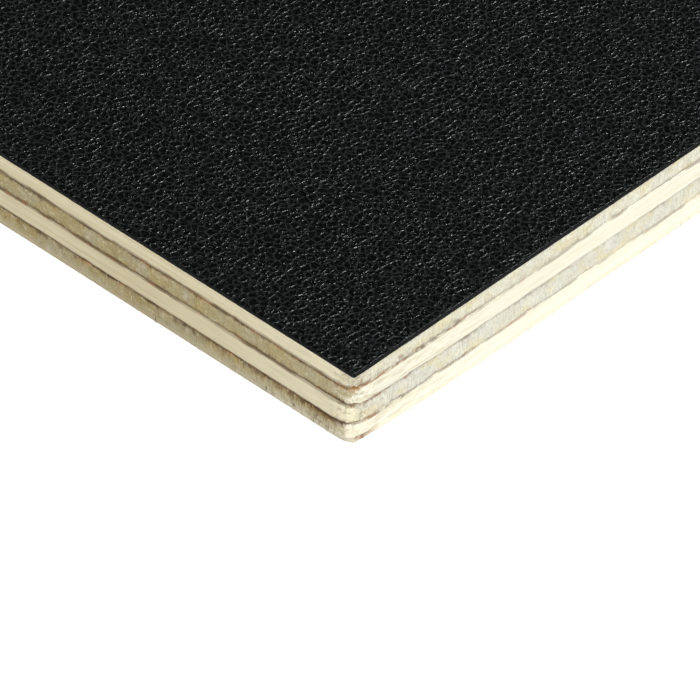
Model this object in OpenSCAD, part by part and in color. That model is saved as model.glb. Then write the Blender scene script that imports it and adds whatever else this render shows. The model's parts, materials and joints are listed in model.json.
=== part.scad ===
// Plastic-faced plywood sheet, lying flat with its embossed face up.
// Five wood veneers are glued with their grain crossed, layer by layer, and a
// plastic film is bonded to the top. Sizes are in millimetres.
// The origin is under the middle of the sheet, on the surface that it lies on.
// X runs along the grain of the face veneer, which is the sheet's long side.

/* [Sheet] */
// Length of the sheet, along the grain of its face veneer
sheet_l = 600; // [100:10:3000]
// Width of the sheet, across the grain of its face veneer
sheet_w = 300; // [100:10:1500]

/* [Film] */
// Thickness of the embossed plastic film
film_t = 0.4; // [0.2:0.1:1]
// Radius that the trimming knife leaves at the film's corners
film_corner_r = 0.2; // [0.1:0.1:1]

/* [Veneers] */
// Thickness of the face veneer, which carries the film
face_veneer_t = 1.4; // [0.4:0.1:3]
// Thickness of the crossband under the face veneer
upper_crossband_t = 1.6; // [0.8:0.1:3]
// Thickness of the veneer at the heart of the sheet
core_veneer_t = 1.7; // [0.8:0.1:3]
// Thickness of the crossband over the back veneer
lower_crossband_t = 1.4; // [0.8:0.1:3]
// Thickness of the back veneer, which is sanded thin to bring the sheet to size
back_veneer_t = 0.4; // [0.3:0.1:3]

/* [Sawn edges] */
// How far sawn end grain lies behind the sides that were cut along the grain
end_grain_setback = 0.05; // [0:0.01:0.3]
// Radius that handling leaves at the corners of the veneers
veneer_corner_r = 0.7; // [0.2:0.1:5]

/* [Hidden] */

// Sides of a full circle, of which each corner shows a quarter
corner_fn = 48;

// Height of the underside of each layer, counted up from the floor
lower_crossband_z = back_veneer_t;
core_veneer_z = lower_crossband_z + lower_crossband_t;
upper_crossband_z = core_veneer_z + core_veneer_t;
face_veneer_z = upper_crossband_z + upper_crossband_t;
face_film_z = face_veneer_z + face_veneer_t;

film_colour = "#17181a";
along_colour = "#d8cca6";
across_colour = "#b3a27a";

// A flat rectangular layer, centred on the origin in plan, with round corners
module layer(length, width, thickness, corner_r) {
    linear_extrude(thickness) {
        square([length - 2 * corner_r, width], center = true);
        square([length, width - 2 * corner_r], center = true);
        for (end = [-1, 1], side = [-1, 1])
            translate([end * (length / 2 - corner_r), side * (width / 2 - corner_r)])
                circle(corner_r, $fn = corner_fn);
    }
}

// A veneer whose grain runs along the sheet, so its two ends are end grain
module veneer_along(thickness) {
    layer(sheet_l - 2 * end_grain_setback, sheet_w, thickness, veneer_corner_r);
}

// A veneer whose grain runs across the sheet, so its two long sides are end grain
module veneer_across(thickness) {
    layer(sheet_l, sheet_w - 2 * end_grain_setback, thickness, veneer_corner_r);
}

module face_film() {
    color(film_colour)
        translate([0, 0, face_film_z])
            layer(sheet_l, sheet_w, film_t, film_corner_r);
}

module face_veneer() {
    color(along_colour)
        translate([0, 0, face_veneer_z])
            veneer_along(face_veneer_t);
}

module upper_crossband() {
    color(across_colour)
        translate([0, 0, upper_crossband_z])
            veneer_across(upper_crossband_t);
}

module core_veneer() {
    color(along_colour)
        translate([0, 0, core_veneer_z])
            veneer_along(core_veneer_t);
}

module lower_crossband() {
    color(across_colour)
        translate([0, 0, lower_crossband_z])
            veneer_across(lower_crossband_t);
}

module back_veneer() {
    color(along_colour)
        veneer_along(back_veneer_t);
}

face_film();
face_veneer();
upper_crossband();
core_veneer();
lower_crossband();
back_veneer();
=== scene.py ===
import json
import math
from types import SimpleNamespace

import bpy
import numpy as np
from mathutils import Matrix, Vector


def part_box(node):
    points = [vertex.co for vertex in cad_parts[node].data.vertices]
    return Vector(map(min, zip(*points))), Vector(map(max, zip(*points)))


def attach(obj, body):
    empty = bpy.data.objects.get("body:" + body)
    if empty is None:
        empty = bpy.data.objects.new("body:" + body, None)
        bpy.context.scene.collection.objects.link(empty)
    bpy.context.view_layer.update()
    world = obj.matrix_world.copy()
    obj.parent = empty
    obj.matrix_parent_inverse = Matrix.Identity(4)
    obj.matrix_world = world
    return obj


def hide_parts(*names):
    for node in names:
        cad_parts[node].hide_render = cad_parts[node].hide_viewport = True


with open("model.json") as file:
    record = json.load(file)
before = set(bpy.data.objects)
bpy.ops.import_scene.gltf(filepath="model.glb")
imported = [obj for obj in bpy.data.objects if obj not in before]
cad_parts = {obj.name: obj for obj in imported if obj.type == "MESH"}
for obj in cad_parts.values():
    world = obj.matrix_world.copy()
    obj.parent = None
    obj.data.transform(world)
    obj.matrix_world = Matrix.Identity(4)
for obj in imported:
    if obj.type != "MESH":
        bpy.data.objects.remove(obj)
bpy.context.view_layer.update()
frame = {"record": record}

# The sheet in metres, from the frame
MM = 0.001
LAYERS = ("back_veneer", "lower_crossband", "core_veneer", "upper_crossband", "face_veneer", "face_film")
HALF_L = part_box("face_film")[1].x
HALF_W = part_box("face_film")[1].y
SEAMS = [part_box(name)[0].z for name in LAYERS] + [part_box(LAYERS[-1])[1].z]
WOOD_TOP = SEAMS[-2]

# Corners of the sheet in plan: the film's, and the roundest that a veneer's is worn to
FILM_CORNER = 0.2 * MM
WORN_CORNER = 0.95 * MM
ARC_COLUMNS = 24
SHARP_EDGE = math.radians(55)

# Columns along the sawn edges, which stand closer together towards the corners
FINE_STEP = 0.12 * MM
COARSE_STEP = 0.6 * MM
FINE_REACH = 42 * MM
COARSE_REACH = 95 * MM
SPACING_SAMPLES = 20001

# Rows up a veneer's edge, as shares of its thickness
VENEER_ROWS = (0, 0.03, 0.09, 0.2, 0.35, 0.5, 0.65, 0.8, 0.91, 0.97, 1)
BACK_ROWS = (0, 0.15, 0.45, 0.75, 0.93, 1)

# Slow, middling and fine waves of each seam, in millimetres up and down, from the floor to the film
SEAM_WAVES = ((0, 0, 0), (0.04, 0.04, 0.04), (0.07, 0.03, 0.012), (0.07, 0.03, 0.012), (0.06, 0.03, 0.01),
              (0, 0, 0), (0, 0, 0))

# Their lengths in millimetres. The fine wave has two.
SLOW_LENGTH, MIDDLING_LENGTH, FINE_LENGTHS = 34, 7, (0.8, 0.33)

# Radius in millimetres that the corner of the wood is worn to at each seam, from the floor to the film
SEAM_CORNERS = (0.6, 0.7, 0.85, 0.95, 0.85, 0.4)
SHARPEST_CORNER = 0.2

# How far in millimetres wear has taken back the very corner at each of these seams, and how far it spreads
SEAM_WEAR = (0.12, 0.15, 0.22, 0.25, 0.22, 0.05)
WEAR_REACH = 0.9

# Marks of the saw, in millimetres: depth, length round the edge, and length up it where that counts
END_TEARS = (0.022, 0.17, 0.9)
END_PITS = (0.025, 0.45, 0.4)
END_DRIFT = (0.015, 2.5, None)
SIDE_RIDGES = (0.01, 9, 0.18)
SIDE_DRIFT = (0.008, 2.2, None)
LEAST_INSET = 0.002

# A veneer's rims, the sheet's lower arris and the lean of its ends: depth and reach in millimetres
RIM_DEPTH, RIM_REACH = 0.015, 0.07
ARRIS_DEPTH, ARRIS_REACH = 0.05, 0.3
LEAN_DEPTH, LEAN_REACH = 0.3, 6

# Chips at the corners, as strength and lengths, and the depth, reach and rounding of a full one
COARSE_CHIPS = (1, 0.4, 0.45)
FINE_CHIPS = (0.6, 0.16, 0.22)
CHIP_DEPTH, CHIP_REACH, CHIP_ROUNDING = 0.09, 1.4, 0.15

# How far from a corner, in millimetres, the wood is fuzzy, how far it is worn, and where its grain turns
NEAR_REACH = 12
CORNER_REACH = 3.5
TURN_REACH = 1.3

# A distance in millimetres that glue never spreads to
NO_SEAM = 9

# The film's cut side, in millimetres: it leans in below a line this far down, and its upper edge is rounded
FILM_FOOT_INSET, FILM_SIDE_INSET, FILM_SIDE_DROP = 0.012, 0.004, 0.33
FILM_ROUND = 0.05
FILM_ROUND_ROWS = 5
FILM_SIDE_ROWS = 4

# The knife's trim of the film, in millimetres: how far in it lies, and its waves as depth and length
TRIM = 0.012
TRIM_WAVES = ((0.006, 1.7, None), (0.004, 0.4, None))

# Torn fibres, in millimetres: how thick they are, how far they bend, and how near a corner they begin
FIBRE_THICKNESS = 0.046
FIBRE_BEND = 0.03
FIBRE_START, FIBRE_FULL = 1.2, 2.7
FIBRE_SPARE = 0.004


def outline(corner_r):
    """The columns of a sawn edge, all round the sheet, counter-clockwise from above."""
    places, outward, along, to_corner, turned = [], [], [], [], []
    gone = 0.0
    for side in range(4):
        heading = side * math.pi / 2
        out = np.array([math.cos(heading), math.sin(heading)]).round()
        ahead = np.array([-out[1], out[0]])
        reach, half_run = (HALF_L, HALF_W) if side % 2 == 0 else (HALF_W, HALF_L)
        half_run -= corner_r
        step = side_steps(2 * half_run)
        places.append(out * reach + np.outer(step - half_run, ahead))
        outward.append(np.tile(out, (len(step), 1)))
        along.append(gone + step)
        to_corner.append(np.minimum(step, 2 * half_run - step) + corner_r * math.pi / 4)
        turned.append(np.zeros(len(step)))
        gone += 2 * half_run
        arc = np.arange(ARC_COLUMNS) / ARC_COLUMNS * math.pi / 2
        spoke = np.stack([np.cos(heading + arc), np.sin(heading + arc)], 1)
        places.append(out * (reach - corner_r) + ahead * half_run + spoke * corner_r)
        outward.append(spoke)
        along.append(gone + arc * corner_r)
        to_corner.append(np.abs(arc - math.pi / 4) * corner_r)
        turned.append(arc)
        gone += corner_r * math.pi / 2
    return SimpleNamespace(
        place=np.concatenate(places),
        outward=np.concatenate(outward),
        along=np.concatenate(along),
        to_corner=np.concatenate(to_corner),
        turned=np.concatenate(turned),
        corner_r=corner_r,
        total=gone,
    )


def side_steps(run):
    """Places of the columns along one straight side."""
    at = np.linspace(0, run, SPACING_SAMPLES)
    grow = ease((np.minimum(at, run - at) - FINE_REACH) / (COARSE_REACH - FINE_REACH))
    step = FINE_STEP + (COARSE_STEP - FINE_STEP) * grow
    passed = np.concatenate([[0], np.cumsum(np.diff(at) / step[1:])])
    columns = round(passed[-1])
    return np.interp(np.arange(columns) / columns * passed[-1], passed, at)


def ease(value):
    """A soft step from 0 to 1."""
    value = np.clip(value, 0, 1)
    return value * value * (3 - 2 * value)


def sharper(edge, radius):
    """How far a corner of this smaller radius stands out past the outline's own round corner."""
    off = edge.corner_r - radius
    cos, sin = np.cos(edge.turned)[:, None], np.sin(edge.turned)[:, None]
    lean = off * (cos + sin)
    on_arc = lean + np.sqrt(np.maximum(lean**2 - 2 * off**2 + radius**2, 0))
    longer, shorter = np.maximum(cos, sin), np.minimum(cos, sin)
    on_side = edge.corner_r / longer
    return np.where(shorter * on_side > off, on_arc, on_side) - edge.corner_r


def ripple(edge, wavelength, seed, height=None, tall=None):
    """A smooth random wave from -1 to 1 round the edge, and up it where a height is given."""
    knots = max(round(edge.total / wavelength), 4)
    floors = 2 if height is None else int(np.ceil(np.max(height) / tall)) + 2
    grid = np.random.default_rng(seed).uniform(-1, 1, (knots, floors))
    at = edge.along / edge.total * knots
    low = np.floor(at).astype(int)
    t = ease(at - low)
    if height is None:
        return grid[low % knots, 0] * (1 - t) + grid[(low + 1) % knots, 0] * t
    up = height / tall
    level = np.floor(up).astype(int)
    s = ease(up - level)
    low, t = low[:, None], t[:, None]
    under = grid[low % knots, level] * (1 - t) + grid[(low + 1) % knots, level] * t
    over = grid[low % knots, level + 1] * (1 - t) + grid[(low + 1) % knots, level + 1] * t
    return under * (1 - s) + over * s


def seam_line(edge, number):
    """The height of a seam between two layers, all round: the veneers swell and thin a little."""
    slow, middling, fine = SEAM_WAVES[number]
    wave = slow * ripple(edge, SLOW_LENGTH * MM, 100 + number)
    wave += middling * ripple(edge, MIDDLING_LENGTH * MM, 200 + number)
    wave += fine * ripple(edge, FINE_LENGTHS[0] * MM, 300 + number)
    wave += fine * ripple(edge, FINE_LENGTHS[1] * MM, 400 + number)
    return SEAMS[number] + wave * MM


def layer_mesh(name, edge, inset, height, bake):
    """A closed mesh of one layer from the inset and height of each column and row of its edge."""
    columns, rows = inset.shape
    xy = edge.place[:, None, :] - edge.outward[:, None, :] * inset[:, :, None]
    wall = np.concatenate([xy, height[:, :, None]], 2)
    middles = [(0, 0, height[:, 0].mean()), (0, 0, height[:, -1].mean())]
    points = np.concatenate([wall.reshape(-1, 3), middles])
    here = np.arange(columns)
    ahead = (here + 1) % columns
    quads = np.concatenate([
        np.stack([here * rows + low, ahead * rows + low, ahead * rows + low + 1, here * rows + low + 1], 1)
        for low in range(rows - 1)])
    centre = np.full(columns, columns * rows)
    under = np.stack([ahead * rows, here * rows, centre], 1)
    over = np.stack([here * rows + rows - 1, ahead * rows + rows - 1, centre + 1], 1)
    mesh = bpy.data.meshes.new(name)
    mesh.from_pydata(points.tolist(), [], quads.tolist() + under.tolist() + over.tolist())
    mesh.set_sharp_from_angle(angle=SHARP_EDGE)
    mesh.polygons.foreach_set("use_smooth", np.arange(len(mesh.polygons)) < len(quads))
    bake_map(mesh, edge, rows, points, under, over, bake)
    piece = bpy.data.objects.new(name, mesh)
    bpy.context.scene.collection.objects.link(piece)
    return piece, wall


def bake_map(mesh, edge, rows, points, under, over, bake):
    """A flat map of the layer for baking: the edge in strips, one above the other, and the two faces."""
    margin, gap = 0.02, 0.1
    wide, tall = 1 - 3 * margin, 1 - 2 * gap
    step = np.diff(edge.along, append=edge.total)
    strip_run = edge.total / bake.strips
    strip = np.floor(edge.along / strip_run)
    u = margin + wide * (edge.along / strip_run - strip)
    u_ahead = u + wide * step / strip_run
    parts = []
    for row in range(rows - 1):
        low, high = (
            (strip + gap + tall * level / (rows - 1)) / bake.strips * bake.edge_share
            for level in (row, row + 1))
        parts.append(np.stack([u, low, u_ahead, low, u_ahead, high, u, high], 1).ravel())
    for corners, box in ((under, bake.under), (over, bake.over)):
        at = points[corners.ravel(), :2] / (2 * HALF_L, 2 * HALF_W) + 0.5
        parts.append((np.array(box[:2]) + at * np.subtract(box[2:], box[:2])).ravel())
    layer = mesh.uv_layers.new(name="OFBake")
    layer.data.foreach_set("uv", np.concatenate(parts).astype(np.float32))


# Maps of the layers: the edge's strips and their share of the map's height, and the corners of the two faces
HIDDEN = (0, 0.985, 0.04, 0.998)
EDGE_MAP = SimpleNamespace(strips=40, edge_share=0.97, under=HIDDEN, over=(0.06, 0.985, 0.1, 0.998))
BACK_MAP = SimpleNamespace(strips=12, edge_share=0.3, under=(0.01, 0.32, 0.99, 0.97), over=HIDDEN)
FILM_MAP = SimpleNamespace(strips=3, edge_share=0.06, under=HIDDEN, over=(0.01, 0.08, 0.99, 0.97))


def store(piece, name, values, shape):
    """Keeps a number for each point of the wall, for the material to read. The two cap middles get 0."""
    wall = np.broadcast_to(values, shape).ravel()
    spare = np.zeros(len(piece.data.vertices) - wall.size)
    attribute = piece.data.attributes.new(name, "FLOAT", "POINT")
    attribute.data.foreach_set("value", np.concatenate([wall, spare]).astype(np.float32))


def by_corner(edge, reach):
    """1 at the sheet's corners, fading out over about this many millimetres along the edge."""
    return np.exp(-((edge.to_corner / (reach * MM)) ** 2))[:, None]


def marks(edge, wave, seed, rise=None):
    """The depth in millimetres of one kind of mark, all round the edge."""
    depth, length, tall = wave
    if tall is None:
        return depth * ripple(edge, length * MM, seed)[:, None]
    return depth * ripple(edge, length * MM, seed, rise, tall * MM)


def saw_cut(edge, height, rise, thickness, end, look, seed):
    """How far the saw's cut lies inside the sheet's outline: rough on end grain, smooth on side grain."""
    end_cut = (1 + look.fuzz * by_corner(edge, NEAR_REACH)) * marks(edge, END_TEARS, seed + 1, rise)
    end_cut += marks(edge, END_PITS, seed + 2, rise)
    end_cut += marks(edge, END_DRIFT, seed + 3)
    side_cut = marks(edge, SIDE_RIDGES, seed + 4, rise) + marks(edge, SIDE_DRIFT, seed + 5)
    cut = (look.end_inset + end_cut) * end + (look.side_inset + side_cut) * (1 - end)
    to_rim = np.minimum(rise, thickness - rise)
    rim = RIM_DEPTH * np.clip(1 - to_rim / (RIM_REACH * MM), 0, 1)
    arris = ARRIS_DEPTH * np.clip(1 - height / (ARRIS_REACH * MM), 0, 1) ** 2
    lean = LEAN_DEPTH * np.abs(edge.outward[:, :1]) * by_corner(edge, LEAN_REACH)
    lean = lean * ease((WOOD_TOP - height) / WOOD_TOP)
    return (cut + rim + arris + lean).clip(LEAST_INSET) * MM


def corner_wear(edge, height, rise, seed):
    """How far wear and chips take the corners back, less what stands out past the roundest of them."""
    chip = marks(edge, COARSE_CHIPS, seed + 6, rise) + marks(edge, FINE_CHIPS, seed + 7, rise)
    chip = chip * by_corner(edge, CHIP_REACH)
    radius = np.interp(height, SEAMS[:-1], SEAM_CORNERS) * (1 + CHIP_ROUNDING * chip)
    radius = np.clip(radius, SHARPEST_CORNER, WORN_CORNER / MM) * MM
    wear = np.interp(height, SEAMS[:-1], SEAM_WEAR) * by_corner(edge, WEAR_REACH)
    return (CHIP_DEPTH * np.abs(chip) + wear) * MM - sharper(edge, radius)


def veneer(number, edge, look):
    """One veneer of the sheet, with the seams, the saw's roughness and the worn corners of its edge."""
    name = LAYERS[number]
    is_back = name == "back_veneer"
    low, high = seam_line(edge, number), seam_line(edge, number + 1)
    thickness = (high - low)[:, None]
    rise = thickness * np.array(BACK_ROWS if is_back else VENEER_ROWS)
    height = low[:, None] + rise
    facing_x = (edge.outward[:, 0] ** 2)[:, None]
    end = facing_x if look.grain_along else 1 - facing_x
    seed = 1000 * (number + 1)
    inset = saw_cut(edge, height, rise, thickness, end, look, seed) + corner_wear(edge, height, rise, seed)
    piece, wall = layer_mesh(name + "_sawn", edge, inset, height, BACK_MAP if is_back else EDGE_MAP)

    way_round = np.where(facing_x > 0.5, 1, -1) * edge.to_corner[:, None]
    shown_x = ease(0.5 + 0.5 * way_round / (TURN_REACH * MM))
    near = by_corner(edge, NEAR_REACH)
    store(piece, "end_grain", shown_x if look.grain_along else 1 - shown_x, rise.shape)
    store(piece, "near_corner", near, rise.shape)
    store(piece, "corner", by_corner(edge, CORNER_REACH), rise.shape)
    store(piece, "glue_under", NO_SEAM if is_back else rise / MM, rise.shape)
    store(piece, "glue_over", NO_SEAM if name == "face_veneer" else (thickness - rise) / MM, rise.shape)

    piece.data.materials.append(veneer_material(name, look))
    if is_back:
        piece.data.materials.append(sanded_material())
        columns, rows = rise.shape
        face = np.arange(len(piece.data.polygons)) - columns * (rows - 1)
        underside = (face >= 0) & (face < columns)
        piece.data.polygons.foreach_set("material_index", underside.astype(np.int32))
    off_corner = ease((edge.to_corner / MM - FIBRE_START) / (FIBRE_FULL - FIBRE_START))
    return piece, SimpleNamespace(points=wall, end=end[:, 0], near=near[:, 0], off_corner=off_corner)


def film():
    """The plastic film: knife-cut sides, a slightly rounded upper edge and a flat embossed face."""
    edge = outline(FILM_CORNER)
    turns = np.linspace(0, math.pi / 2, FILM_ROUND_ROWS)
    inset = np.concatenate([[FILM_FOOT_INSET, FILM_SIDE_INSET], FILM_ROUND * (1 - np.cos(turns))])
    drop = np.concatenate([[FILM_SIDE_DROP], FILM_ROUND * (1 - np.sin(turns))])
    trim = TRIM + marks(edge, TRIM_WAVES[0], 41) + marks(edge, TRIM_WAVES[1], 42)
    inset = (inset + trim) * MM
    height = np.broadcast_to(np.concatenate([[WOOD_TOP], SEAMS[-1] - drop * MM]), inset.shape)
    piece, _ = layer_mesh("face_film_embossed", edge, inset, height, FILM_MAP)
    piece.data.materials.append(film_material())
    piece.data.materials.append(film_side_material())
    side = np.arange(len(piece.data.polygons)) < FILM_SIDE_ROWS * len(inset)
    piece.data.polygons.foreach_set("material_index", side.astype(np.int32))
    return piece


class Wire:
    """A value in a node tree. Sums on it add the Math nodes that work it out."""

    def __init__(self, tree, socket):
        self.tree = tree
        self.socket = socket

    def maths(self, operation, *values):
        return self.tree.add("ShaderNodeMath", {"operation": operation}, dict(enumerate(values)))

    def __add__(self, other):
        return self.maths("ADD", self, other)

    def __radd__(self, other):
        return self.maths("ADD", other, self)

    def __sub__(self, other):
        return self.maths("SUBTRACT", self, other)

    def __rsub__(self, other):
        return self.maths("SUBTRACT", other, self)

    def __mul__(self, other):
        return self.maths("MULTIPLY", self, other)

    def __rmul__(self, other):
        return self.maths("MULTIPLY", other, self)

    def __truediv__(self, other):
        return self.maths("DIVIDE", self, other)

    def __rtruediv__(self, other):
        return self.maths("DIVIDE", other, self)

    def __or__(self, other):
        return self.maths("MAXIMUM", self, other)

    def __ror__(self, other):
        return self.maths("MAXIMUM", other, self)


class Tree:
    """A node tree that is being written."""

    def __init__(self, tree):
        self.tree = tree

    def add(self, kind, settings=None, inputs=None, output=0):
        """Adds a node with its settings and the values or wires of its inputs, and gives one output."""
        node = self.tree.nodes.new(kind)
        for name, value in (settings or {}).items():
            setattr(node, name, value)
        for name, value in (inputs or {}).items():
            if isinstance(value, Wire):
                self.tree.links.new(value.socket, node.inputs[name])
            else:
                node.inputs[name].default_value = value
        return Wire(self, node.outputs[output]) if node.outputs else node

    def vector(self, operation, *values):
        return self.add("ShaderNodeVectorMath", {"operation": operation}, dict(enumerate(values)))

    def scaled(self, vector, factor):
        return self.add("ShaderNodeVectorMath", {"operation": "SCALE"}, {0: vector, "Scale": factor})

    def mix(self, share, first, second):
        """A colour from first to second as share goes from 0 to 1."""
        return self.add("ShaderNodeMix", {"data_type": "RGBA"}, {0: share, 6: first, 7: second}, 2)

    def smooth(self, value, low, high):
        """0 where value is below low, 1 above high, with a soft step between."""
        settings = {"interpolation_type": "SMOOTHSTEP"}
        return self.add("ShaderNodeMapRange", settings, {"Value": value, "From Min": low, "From Max": high})

    def noise(self, place, size, detail=2.0, rough=0.5, warp=0.0):
        """Cloudy noise from 0 to 1 with features of this size in millimetres along each axis."""
        place = self.vector("MULTIPLY", place, [1 / (MM * s) for s in size])
        inputs = {"Vector": place, "Scale": 1.0, "Detail": detail, "Roughness": rough, "Distortion": warp}
        return self.add("ShaderNodeTexNoise", {}, inputs)

    def flat_noise(self, place, size, detail=2.0, output=0):
        """The same on a flat face, with one size."""
        inputs = {"Vector": place, "Scale": 1 / (MM * size), "Detail": detail}
        return self.add("ShaderNodeTexNoise", {"noise_dimensions": "2D"}, inputs, output)

    def place(self):
        return self.add("ShaderNodeTexCoord", {}, {}, "Object")

    def attribute(self, name):
        return self.add("ShaderNodeAttribute", {"attribute_name": name}, {}, "Fac")


def srgb(red, green, blue):
    """A colour from its 0 to 255 display values."""
    parts = [c / 255 for c in (red, green, blue)]
    return tuple(c / 12.92 if c <= 0.04045 else ((c + 0.055) / 1.055) ** 2.4 for c in parts) + (1.0,)


def new_material(name):
    material = bpy.data.materials.new(name)
    material.use_nodes = True
    material.node_tree.nodes.clear()
    return material, Tree(material.node_tree)


def finish_material(tree, shader):
    tree.add("ShaderNodeOutputMaterial", {}, {"Surface": shader})


def film_material():
    """Black plastic with a fine leathery emboss: dull pebbles, deeper in places, with small glossy spots, and
    a painted sheen that makes its colour lighter in the valleys between pebbles.
    """
    material, tree = new_material("embossed_film")
    at = tree.place()
    pebble, flank, depth, shallowest = 0.58, 0.2, 0.048, 0.25
    dull, gloss = 0.36, 0.08
    swing = tree.vector("SUBTRACT", tree.flat_noise(at, 0.5, output="Color"), (0.5, 0.5, 0.5))
    moved = tree.vector("ADD", at, tree.scaled(swing, 0.35 * MM))
    to_edge = tree.add("ShaderNodeTexVoronoi", {"voronoi_dimensions": "2D", "feature": "DISTANCE_TO_EDGE"},
                       {"Vector": moved, "Scale": 1 / (pebble * MM)})
    patch = tree.smooth(tree.flat_noise(at, 1.3), 0.25, 0.58)
    bit = tree.smooth(tree.flat_noise(at, 0.34, detail=1.0), 0.36, 0.62)
    grit = tree.flat_noise(at, 0.09)
    hill = tree.smooth(to_edge, 0.0, flank)
    height = hill * (shallowest + (1 - shallowest) * patch * bit) + 0.08 * grit
    bump = tree.add("ShaderNodeBump", {}, {"Strength": 1.0, "Distance": depth * MM, "Height": height})
    rough = dull - (dull - gloss) * tree.smooth(tree.flat_noise(at, 0.2, detail=1.0), 0.46, 0.58)
    # Random tone plus painted sheen: the colour is lighter in the valleys between pebbles, where the slopes
    # would catch the lamps.
    tone_and_valley_sheen = tree.smooth(tree.flat_noise(at, 0.3, detail=1.0) - 0.6 * (hill - 0.5), 0.35, 0.75)
    colour = tree.mix(tone_and_valley_sheen, srgb(2, 3, 3), srgb(29, 32, 32))
    shader = tree.add("ShaderNodeBsdfPrincipled", {}, {
        "Base Color": colour, "Roughness": rough, "Normal": bump, "Specular IOR Level": 0.82})
    finish_material(tree, shader)
    return material


def film_side_material():
    """The film's knife-cut side, which is dull, with scuffs as large as the pebbles of the face."""
    material, tree = new_material("film_cut_side")
    at = tree.place()
    scuff = tree.noise(at, (0.16, 0.16, 0.1))
    colour = tree.mix(tree.smooth(scuff, 0.5, 0.68), srgb(3, 3, 3), srgb(40, 43, 42))
    bump = tree.add("ShaderNodeBump", {}, {"Strength": 0.6, "Distance": 0.02 * MM, "Height": scuff})
    shader = tree.add("ShaderNodeBsdfPrincipled", {}, {
        "Base Color": colour, "Roughness": 0.6 + 0.2 * scuff, "Normal": bump, "Specular IOR Level": 0.08})
    finish_material(tree, shader)
    return material


def veneer_material(name, look):
    """Peeled wood: streaked along the grain, mottled where it is cut across, with glue at the seams."""
    material, tree = new_material(name + "_wood")
    at = tree.place()
    if not look.grain_along:
        at = tree.add("ShaderNodeMapping", {}, {"Vector": at, "Rotation": (0, 0, math.pi / 2)})
    corner, near = tree.attribute("corner"), tree.attribute("near_corner")
    run = tree.noise(at, (0.6, 0.6, 0.35), detail=3.0, rough=0.65)
    tick = tree.noise(at, (3, 0.12, 0.6), detail=3.0, rough=0.6, warp=0.4)
    line = tree.noise(at, (5, 0.09, 0.07), detail=3.0)
    pore = tree.noise(at, (3, 0.09, 0.1))
    end_grain = tree.attribute("end_grain")
    under, over = tree.attribute("glue_under"), tree.attribute("glue_over")
    turning = 4 * end_grain * (1 - end_grain)
    turn = turning * (look.slant * (under - over) - look.wrap)
    speck = tree.noise(at, (0.5, 0.16, 0.16), rough=0.7)
    cut = tree.smooth(end_grain + 1.6 * (run - 0.5) + 0.6 * (speck - 0.5) + turn, 0.25, 1.0)
    facing_x = end_grain if look.grain_along else 1 - end_grain
    side = side_colour(tree, at, line, speck, near, look)
    end = end_colour(tree, at, tick, pore, speck, near, look)
    wood = tree.mix(cut, side, end)
    red = tree.smooth(tree.noise(at, (1.1, 1.1, 1.1)) + 0.2 * corner * facing_x, 0.54, 0.7)
    if look.foot:
        foot = 1 - tree.smooth(under + 0.6 * (run - 0.5), 0.0, look.foot)
        wood = tree.mix((0.25 + 0.5 * near) * foot * cut, wood, look.foot_colour)
    if look.stain:
        stain = 1 - tree.smooth(over + 0.7 * (run - 0.5), 0.0, look.stain)
        soaked = tree.smooth(tree.noise(at, (0.7, 0.7, 0.6), detail=3.0, rough=0.6) + 0.07 * near, 0.45, 0.56)
        stain = stain * (0.1 + 0.9 * soaked) * (look.stain_least + (1 - look.stain_least) * near)
        wood = tree.mix(stain * cut, wood, tree.mix(red, look.stain_colour, look.stain_red))
    if look.corner_wear:
        worn = look.corner_wear * tree.smooth(corner + 0.5 * (run - 0.5), look.corner_from, 1.0)
        wood = tree.mix(worn, wood, look.corner_colour)
    rag = tree.noise(at, (0.32, 0.32, 0.26), detail=3.0, rough=0.7)
    at_corner = tree.smooth(corner, 0.55, 0.95)
    wood = tree.mix(0.55 * at_corner * tree.smooth(rag, 0.53, 0.66), wood, look.rag_dark)
    wood = tree.mix(0.55 * at_corner * tree.smooth(rag, 0.47, 0.36), wood, look.rag_pale)
    tooth = 0.2 + 0.3 * tree.smooth(run, 0.35, 0.7) + 0.7 * tree.smooth(tick, 0.35, 0.65)
    smear = look.smear * tree.smooth(tree.noise(at, (0.9, 0.9, 0.9)), 0.52, 0.68)
    reach = (look.side_glue + (1 - look.side_glue) * cut) * (0.55 + tooth + smear * cut) * (1 + 0.4 * corner)
    glue = glue_line(tree, under, reach, look.under, corner) | glue_line(tree, over, reach, look.over, corner)
    patch = tree.smooth(tree.noise(at, (2.2, 2.2, 2.2), detail=3.0), 0.38, 0.6)
    blob = tree.smooth(tree.noise(at, (0.5, 0.5, 0.5)), 0.44, 0.6)
    hold = (0.5 + 0.5 * patch) * (1 - facing_x) + (0.08 + 0.42 * patch + 0.5 * blob * near) * facing_x
    if look.glue_on_ends:
        hold = facing_x * (0.6 + 0.4 * blob) * tree.smooth(corner, 0.5, 0.9)
    colour = tree.mix(glue * hold, wood, tree.mix(0.85 * red, look.glue, look.glue_red))
    relief = 0.6 * tick * cut + 0.25 * line * (1 - cut) + 0.5 * pore * cut
    bump = tree.add("ShaderNodeBump", {}, {"Strength": 0.6, "Distance": 0.05 * MM, "Height": relief})
    shader = tree.add("ShaderNodeBsdfPrincipled", {}, {
        "Base Color": colour, "Roughness": 0.8 - 0.2 * glue, "Normal": bump, "Specular IOR Level": 0.25})
    finish_material(tree, shader)
    return material


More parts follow.
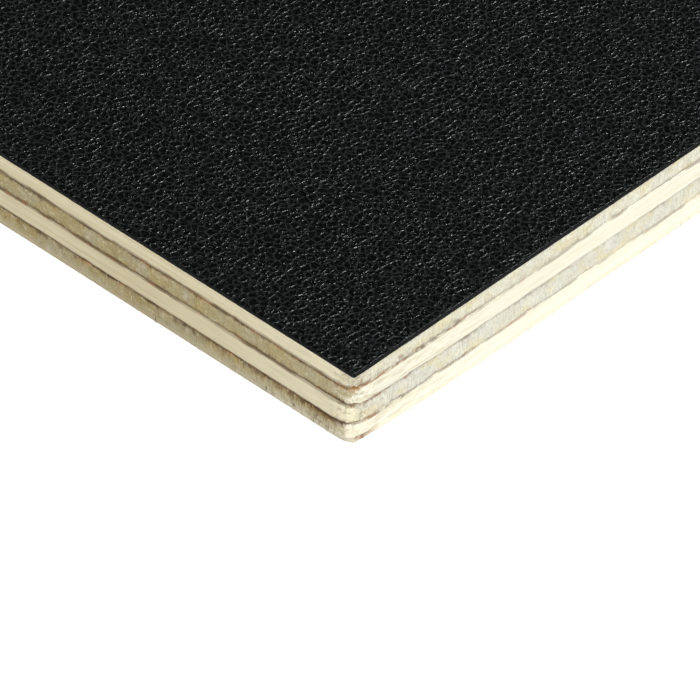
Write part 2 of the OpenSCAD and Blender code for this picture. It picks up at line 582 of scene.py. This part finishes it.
def sanded_material():
    """The sanded underside: a long wavy figure, faint streaks and short fine pores, all along the grain."""
    material, tree = new_material("sanded_back")
    at = tree.place()
    rings = 46 * tree.noise(at, (310, 60, 60)) + 1.5 * tree.noise(at, (30, 5, 5))
    figure = 0.5 + 0.5 * rings.maths("SINE", rings)
    streak = tree.noise(at, (45, 0.8, 0.8), detail=4.0)
    pore = tree.noise(at, (2.6, 0.16, 0.16))
    cloud = tree.noise(at, (120, 40, 40))
    colour = tree.mix(0.75 * tree.smooth(figure, 0.25, 1.0), srgb(224, 208, 174), srgb(204, 184, 144))
    colour = tree.mix(0.5 * tree.smooth(streak, 0.4, 0.7), colour, srgb(198, 178, 138))
    colour = tree.mix(0.3 * tree.smooth(cloud, 0.4, 0.7), colour, srgb(208, 184, 140))
    colour = tree.mix(0.5 * tree.smooth(pore, 0.6, 0.74), colour, srgb(160, 134, 92))
    relief = streak - 0.5 * pore
    bump = tree.add("ShaderNodeBump", {}, {"Strength": 0.3, "Distance": 0.03 * MM, "Height": relief})
    shader = tree.add("ShaderNodeBsdfPrincipled", {}, {
        "Base Color": colour, "Roughness": 0.65 + 0.2 * streak, "Normal": bump, "Specular IOR Level": 0.3})
    finish_material(tree, shader)
    return material


def side_colour(tree, at, line, speck, near, look):
    """Wood cut along its fibres: faint streaks and a few darker lines, scuffed near a corner, and painted
    paler there as light that rises toward the corner.
    """
    streak = tree.noise(at, (18, 0.7, 0.3), detail=4.0)
    cloud = tree.noise(at, (22, 9, 3))
    colour = tree.mix(tree.smooth(streak, 0.3, 0.75), look.side_light, look.side_dark)
    colour = tree.mix(0.5 * tree.smooth(line, 0.45, 0.75), colour, look.side_line)
    colour = tree.mix(0.3 * tree.smooth(cloud, 0.45, 0.75), colour, look.side_dark)
    colour = tree.mix(0.2 * tree.smooth(speck, 0.5, 0.75), colour, look.side_line)
    # Painted light: the wood is made paler within about a centimetre of a corner, a painted rise of the light
    # toward the corner.
    if look.pale:
        colour = tree.mix(look.pale * near, colour, look.side_pale)
    scuff = tree.noise(at, (2.0, 0.4, 0.26), detail=3.0, rough=0.6)
    return tree.mix(look.scuff * near * tree.smooth(scuff, 0.48, 0.62), colour, look.side_scuff)


def end_colour(tree, at, tick, pore, speck, near, look):
    """Wood cut across its fibres: soft patches of several browns, with fine dots and ticks. Near a corner,
    painted light makes it paler, and painted shade between torn fibres adds dark tufts and ticks.
    """
    blot = tree.noise(at, (5, 1.3, 1.0), detail=4.0, rough=0.65)
    warm = tree.noise(at, (7, 1.9, 1.3), detail=3.0, rough=0.6)
    grey = tree.noise(at, (9, 2.5, 2.2), detail=3.0, rough=0.6)
    colour = tree.mix(tree.smooth(blot, 0.3, 0.7), look.end_light, look.end_dark)
    colour = tree.mix(0.7 * tree.smooth(warm, 0.48, 0.66), colour, look.end_warm)
    colour = tree.mix(0.55 * tree.smooth(grey, 0.5, 0.66), colour, look.end_grey)
    colour = tree.mix(0.45 * tree.smooth(speck, 0.5, 0.75), colour, look.end_deep)
    colour = tree.mix(0.45 * tree.smooth(speck, 0.5, 0.25), colour, look.end_light)
    # Painted light: paler within about a centimetre of a corner, a painted rise of the light toward the
    # corner.
    if look.bright:
        colour = tree.mix(look.bright * near, colour, look.end_bright)
    # Painted shade between torn fibres near a corner: dark streaky tufts here, and extra dark ticks on top of
    # the grain's own ticks below.
    tuft_shade = tree.noise(at, (3, 0.2, 0.8), rough=0.6, warp=0.3)
    colour = tree.mix(0.35 * look.fuzz * near * tree.smooth(tuft_shade, 0.5, 0.66), colour, look.end_deep)
    ticks = (look.ticks + 0.35 * look.fuzz * near) * tree.smooth(tick, 0.48, 0.75)
    return tree.mix(ticks | 0.5 * tree.smooth(pore, 0.58, 0.78), colour, look.end_deep)


def glue_line(tree, distance, reach, seam, corner):
    """How much glue shows at this distance from a seam: all of it at 1."""
    width, strength, at_corner = seam
    if not width:
        return 0.0
    shown = strength + (at_corner - strength) * corner
    return shown * (1 - tree.smooth(distance / (width * reach), 0.25, 1.1))


def fibre_material(name, pale, dark):
    """Torn ends of wood fibres, paler and darker from one to the next."""
    material, tree = new_material(name)
    at = tree.place()
    shade = tree.noise(at, (0.3, 0.3, 2.0))
    colour = tree.mix(tree.smooth(shade, 0.35, 0.65), pale, dark)
    shader = tree.add("ShaderNodeBsdfPrincipled", {}, {
        "Base Color": colour, "Roughness": 0.7 + 0.2 * shade, "Specular IOR Level": 0.25})
    finish_material(tree, shader)
    return material


def fibre_tree():
    """Bent slivers that hang on a ribbon of sawn edge, more of them where its fuzz is high."""
    group = bpy.data.node_groups.new("torn_fibres", "GeometryNodeTree")
    kinds = {
        "Ribbon": "Geometry", "Density": "Float", "Length": "Float", "Thickness": "Float",
        "Bend": "Float", "Seed": "Int", "Wood": "Material"}
    for name, kind in kinds.items():
        group.interface.new_socket(name, in_out="INPUT", socket_type="NodeSocket" + kind)
    group.interface.new_socket("Fibres", in_out="OUTPUT", socket_type="NodeSocketGeometry")
    tree = Tree(group)
    given = {name: tree.add("NodeGroupInput", {}, {}, name) for name in kinds}
    fuzz = tree.add("GeometryNodeInputNamedAttribute", {"data_type": "FLOAT"}, {"Name": "fuzz"})
    spread = tree.add("GeometryNodeDistributePointsOnFaces", {}, {
        "Mesh": given["Ribbon"], "Density": given["Density"] * fuzz, "Seed": given["Seed"]})
    normal = Wire(tree, spread.socket.node.outputs["Normal"])

    def chance(low, high, shift):
        inputs = {2: low, 3: high, "Seed": given["Seed"] + shift}
        return tree.add("FunctionNodeRandomValue", {"data_type": "FLOAT"}, inputs, 1)

    sideways = tree.vector("CROSS_PRODUCT", normal, (0, 0, 1))
    aside = tree.scaled(sideways, chance(-0.35, 0.35, 1))
    outward = tree.scaled(normal, chance(0.0, 0.05, 2))
    lie = tree.vector("ADD", tree.vector("ADD", aside, outward), (0, 0, -1))
    turn = tree.add("FunctionNodeAlignRotationToVector", {"axis": "Z"}, {"Vector": lie})
    turn = tree.add("FunctionNodeAlignRotationToVector", {"axis": "X", "pivot_axis": "Z"},
                    {"Rotation": turn, "Vector": normal})
    sliver = tree.add("GeometryNodeMeshCone", {"fill_type": "NGON"}, {
        "Vertices": 3, "Side Segments": 3, "Radius Top": 0.2 * given["Thickness"],
        "Radius Bottom": 0.5 * given["Thickness"], "Depth": given["Length"]})
    spot = tree.add("GeometryNodeInputPosition")
    climb = tree.add("ShaderNodeSeparateXYZ", {}, {"Vector": spot}, "Z") / given["Length"]
    bow = tree.add("ShaderNodeCombineXYZ", {}, {"X": given["Bend"] * climb * climb})
    sliver = tree.add("GeometryNodeSetPosition", {}, {"Geometry": sliver, "Offset": bow})
    size = tree.add("ShaderNodeCombineXYZ", {}, {
        "X": chance(0.6, 1.2, 3), "Y": chance(0.6, 1.2, 4), "Z": chance(0.35, 1.0, 5)})
    fibres = tree.add("GeometryNodeInstanceOnPoints", {}, {
        "Points": spread, "Instance": sliver, "Rotation": turn, "Scale": size})
    fibres = tree.add("GeometryNodeRealizeInstances", {}, {"Geometry": fibres})
    fibres = tree.add("GeometryNodeSetMaterial", {}, {"Geometry": fibres, "Material": given["Wood"]})
    tree.add("NodeGroupOutput", {}, {"Fibres": fibres})
    return group


def torn_fibres(name, wall, look, tree, wood):
    """Fibres that the saw left hanging on a veneer's end grain, thickest near the corners."""
    rows = wall.points[:, look.fibre_rows]
    columns, tall = rows.shape[:2]
    straight = wall.end > 0.97
    here = np.flatnonzero(straight & np.roll(straight, -1))
    ahead = (here + 1) % columns
    quads = np.concatenate([
        np.stack([here * tall + low, ahead * tall + low, ahead * tall + low + 1, here * tall + low + 1], 1)
        for low in range(tall - 1)])
    mesh = bpy.data.meshes.new(name)
    mesh.from_pydata(rows.reshape(-1, 3).tolist(), [], quads.tolist())
    fuzz = np.repeat((look.fibre_least + (1 - look.fibre_least) * wall.near) * wall.off_corner, tall)
    mesh.attributes.new("fuzz", "FLOAT", "POINT").data.foreach_set("value", fuzz.astype(np.float32))
    piece = bpy.data.objects.new(name, mesh)
    bpy.context.scene.collection.objects.link(piece)
    modifier = piece.modifiers.new("torn_fibres", "NODES")
    modifier.node_group = tree
    values = {
        "Density": look.fibre_density / MM**2, "Length": look.fibre_length * MM,
        "Thickness": FIBRE_THICKNESS * MM, "Bend": FIBRE_BEND * MM, "Seed": look.fibre_seed, "Wood": wood}
    for socket in tree.interface.items_tree:
        if socket.name in values:
            modifier[socket.identifier] = values[socket.name]
    shown = piece.evaluated_get(bpy.context.evaluated_depsgraph_get())
    piece.data = bpy.data.meshes.new_from_object(shown)
    piece.modifiers.clear()
    piece.data.name = name
    low = np.add((-HALF_L, -HALF_W, 0), FIBRE_SPARE * MM)
    high = np.subtract((HALF_L, HALF_W, SEAMS[-1]), FIBRE_SPARE * MM)
    spots = np.empty(3 * len(piece.data.vertices), np.float32)
    piece.data.vertices.foreach_get("co", spots)
    piece.data.vertices.foreach_set("co", np.clip(spots.reshape(-1, 3), low, high).ravel())
    return piece


def softbox(name, toward, level, size, glossy=True):
    """A square lamp. A level of 1 shows a white surface that faces the lamp as white."""
    distance = 4.0
    lamp = bpy.data.lights.new(name, "AREA")
    lamp.size = size
    lamp.energy = level * (math.pi * distance) ** 2
    thing = bpy.data.objects.new(name, lamp)
    way = Vector(toward).normalized()
    thing.location = way * distance
    thing.rotation_euler = way.to_track_quat("Z", "Y").to_euler()
    thing.visible_glossy = glossy
    bpy.context.scene.collection.objects.link(thing)


def studio():
    """A wide pale floor, a dim even room and soft lamps."""
    floor_half, floor_drop = 150.0, 0.02 * MM
    corners = [(x * floor_half, y * floor_half, 0) for x, y in ((-1, -1), (1, -1), (1, 1), (-1, 1))]
    mesh = bpy.data.meshes.new("floor")
    mesh.from_pydata(corners, [], [(0, 1, 2, 3)])
    floor = bpy.data.objects.new("floor", mesh)
    floor.location.z = -floor_drop
    bpy.context.scene.collection.objects.link(floor)
    material, tree = new_material("pale_floor")
    camera_ray, glossy_ray, through_ray = (
        tree.add("ShaderNodeLightPath", {}, {}, name)
        for name in ("Is Camera Ray", "Is Glossy Ray", "Is Transmission Ray"))
    shown = camera_ray | glossy_ray | through_ray
    away = tree.add("ShaderNodeVectorMath", {"operation": "LENGTH"}, {0: tree.place()}, "Value")
    near_glow = 0.35
    level = near_glow + (1 - near_glow) * tree.smooth(away, 1.0, 3.0)
    glow = tree.add("ShaderNodeEmission", {}, {"Color": (1, 1, 1, 1), "Strength": level * shown})
    matt = tree.add("ShaderNodeBsdfDiffuse", {}, {"Color": (0.8, 0.8, 0.8, 1)})
    finish_material(tree, tree.add("ShaderNodeAddShader", {}, {0: glow, 1: matt}))
    mesh.materials.append(material)
    world = bpy.data.worlds.new("room")
    bpy.context.scene.world = world
    world.use_nodes = True
    world.node_tree.nodes.clear()
    tree = Tree(world.node_tree)
    room_light = 0.015
    seen = room_light + (1 - room_light) * tree.add("ShaderNodeLightPath", {}, {}, "Is Camera Ray")
    sky = tree.add("ShaderNodeBackground", {}, {"Color": (1, 1, 1, 1), "Strength": seen})
    tree.add("ShaderNodeOutputWorld", {}, {"Surface": sky})
    key_way = (0.563, -0.422, 0.711)
    softbox("key", key_way, 1.0, 2.0, glossy=False)
    softbox("key_sheen", key_way, 0.1, 2.0)
    softbox("overhead", (0.468, 0.185, 0.864), 0.28, 0.9)
    softbox("overhead_right", (0.233, 0.467, 0.853), 0.24, 0.9)
    softbox("fill_behind", (-0.75, 0.45, 0.5), 0.3, 2.0, glossy=False)


def camera():
    """Looks down on the near corner through a long lens, as in the photograph."""
    azimuth, elevation = math.radians(44.04), math.radians(40.5)
    distance, frame_width, frame_pixels = 0.6, 48.3 * MM, 700
    corner_pixel = (354.0, 379.0)
    level = math.cos(elevation)
    back = Vector((math.sin(azimuth) * level, -math.cos(azimuth) * level, math.sin(elevation)))
    right = Vector((math.cos(azimuth), math.sin(azimuth), 0))
    up = back.cross(right)
    data = bpy.data.cameras.new("camera")
    data.lens = data.sensor_width * distance / frame_width
    data.clip_start, data.clip_end = 0.01, 1000
    thing = bpy.data.objects.new("camera", data)
    pixel = frame_width / frame_pixels
    corner = Vector((HALF_L, -HALF_W, WOOD_TOP))
    aside, above = corner_pixel[0] - frame_pixels / 2, frame_pixels / 2 - corner_pixel[1]
    thing.location = corner + back * distance - right * aside * pixel - up * above * pixel
    thing.rotation_euler = back.to_track_quat("Z", "Y").to_euler()
    bpy.context.scene.collection.objects.link(thing)
    bpy.context.scene.camera = thing


# The finish of each veneer. Seams are (how far glue shows in mm, how strongly, how strongly at a corner).
# Insets, lengths, feet and stains are in millimetres too, and densities are fibres to a square millimetre.
ALONG = dict(
    grain_along=True, side_light=srgb(221, 213, 184), side_dark=srgb(206, 194, 158),
    side_line=srgb(190, 175, 136), side_scuff=srgb(188, 180, 154), side_pale=srgb(238, 232, 203), pale=0.5,
    end_light=srgb(222, 221, 204), end_dark=srgb(204, 200, 179), end_warm=srgb(217, 207, 165),
    end_grey=srgb(205, 206, 197), end_deep=srgb(140, 127, 98), glue=srgb(88, 59, 20),
    glue_red=srgb(136, 74, 30), ticks=0.35, fuzz=0.3, foot=0, stain=0, glue_on_ends=False, end_inset=0.08,
    side_inset=0.02, slant=0.0, wrap=0.0, side_glue=0.8, smear=0.6, scuff=0.3, bright=0, corner_wear=0,
    rag_dark=srgb(150, 134, 100), rag_pale=srgb(236, 233, 214), fibre_rows=slice(3, 9), fibre_density=3,
    fibre_least=0.3, fibre_length=0.4)
ACROSS = dict(
    ALONG, grain_along=False, side_light=srgb(236, 235, 221), side_dark=srgb(229, 224, 203),
    side_line=srgb(212, 200, 166), side_scuff=srgb(206, 196, 164), pale=0, end_light=srgb(177, 164, 124),
    end_dark=srgb(158, 143, 101), end_warm=srgb(168, 149, 93), end_grey=srgb(170, 165, 143),
    end_deep=srgb(100, 82, 46), side_glue=0.5, glue=srgb(74, 48, 12), glue_red=srgb(140, 80, 24), ticks=0.2,
    fuzz=0.4, scuff=0.9, bright=0.4, end_bright=srgb(194, 184, 152), fibre_density=4, fibre_least=0.15,
    fibre_length=0.5)
FACE = dict(
    ALONG, smear=1.6, corner_wear=0.6, corner_from=0.88, corner_colour=srgb(178, 170, 144),
    under=(0.27, 0.88, 1.0), over=(0, 0, 0), fibre_seed=5)
UPPER = dict(
    ACROSS, side_light=srgb(232, 231, 216), side_dark=srgb(226, 221, 200), slant=0.6, stain=0.45,
    stain_least=0.1, stain_colour=srgb(132, 94, 40), stain_red=srgb(188, 128, 48), under=(0.21, 0.82, 1.0),
    over=(0.25, 0.95, 1.0), fibre_seed=4)
CORE = dict(
    ALONG, side_light=srgb(217, 207, 177), side_dark=srgb(202, 189, 153), end_light=srgb(219, 218, 205),
    end_dark=srgb(202, 199, 183), smear=1.1, under=(0.14, 0.85, 1.0), over=(0.23, 0.82, 1.0), fibre_seed=3)
LOWER = dict(
    ACROSS, ticks=0.3, fuzz=1.6, foot=0.8, foot_colour=srgb(206, 198, 174), stain=0.95, stain_least=0.25,
    stain_colour=srgb(100, 62, 12), stain_red=srgb(184, 112, 30), smear=1.6, wrap=0.9, scuff=0.6, bright=0.75,
    end_bright=srgb(192, 178, 136), corner_wear=0.6, corner_from=0.72, corner_colour=srgb(226, 218, 192),
    under=(0, 0, 0), over=(0.27, 1.0, 1.0), fibre_rows=slice(1, 7), fibre_density=20, fibre_least=0.05,
    fibre_length=0.7, fibre_seed=2)
BACK = dict(
    ALONG, side_light=srgb(196, 185, 154), side_dark=srgb(178, 166, 133), side_line=srgb(156, 141, 108),
    side_pale=srgb(222, 216, 196), pale=0.8, end_light=srgb(236, 233, 213), end_dark=srgb(230, 224, 200),
    end_warm=srgb(234, 226, 196), end_grey=srgb(232, 230, 216), end_deep=srgb(208, 200, 176), ticks=0.1,
    glue_on_ends=True, end_inset=0.04, side_inset=0.1, under=(0, 0, 0), over=(0.4, 0.9, 1.0))
LOOKS = [SimpleNamespace(**look) for look in (BACK, LOWER, CORE, UPPER, FACE)]

camera()
studio()
veneer_edge = outline(WORN_CORNER)
slots = {part["node"]: part["material_slot"] for part in frame["record"]["subparts"]}
fibres = fibre_tree()
fibre_woods = {
    "veneer_along": fibre_material("pale_fibre", srgb(226, 222, 204), srgb(196, 188, 164)),
    "veneer_across": fibre_material("tan_fibre", srgb(200, 189, 158), srgb(112, 99, 70)),
}
for number, name in enumerate(LAYERS):
    if name == "face_film":
        pieces = [film()]
    else:
        look = LOOKS[number]
        piece, wall = veneer(number, veneer_edge, look)
        pieces = [piece]
        if name != "back_veneer":
            wood = fibre_woods[slots[name]]
            pieces.append(torn_fibres(name + "_fibres", wall, look, fibres, wood))
    for piece in pieces:
        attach(piece, "root")
    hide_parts(name)

bpy.context.scene.view_settings.view_transform = "Standard"
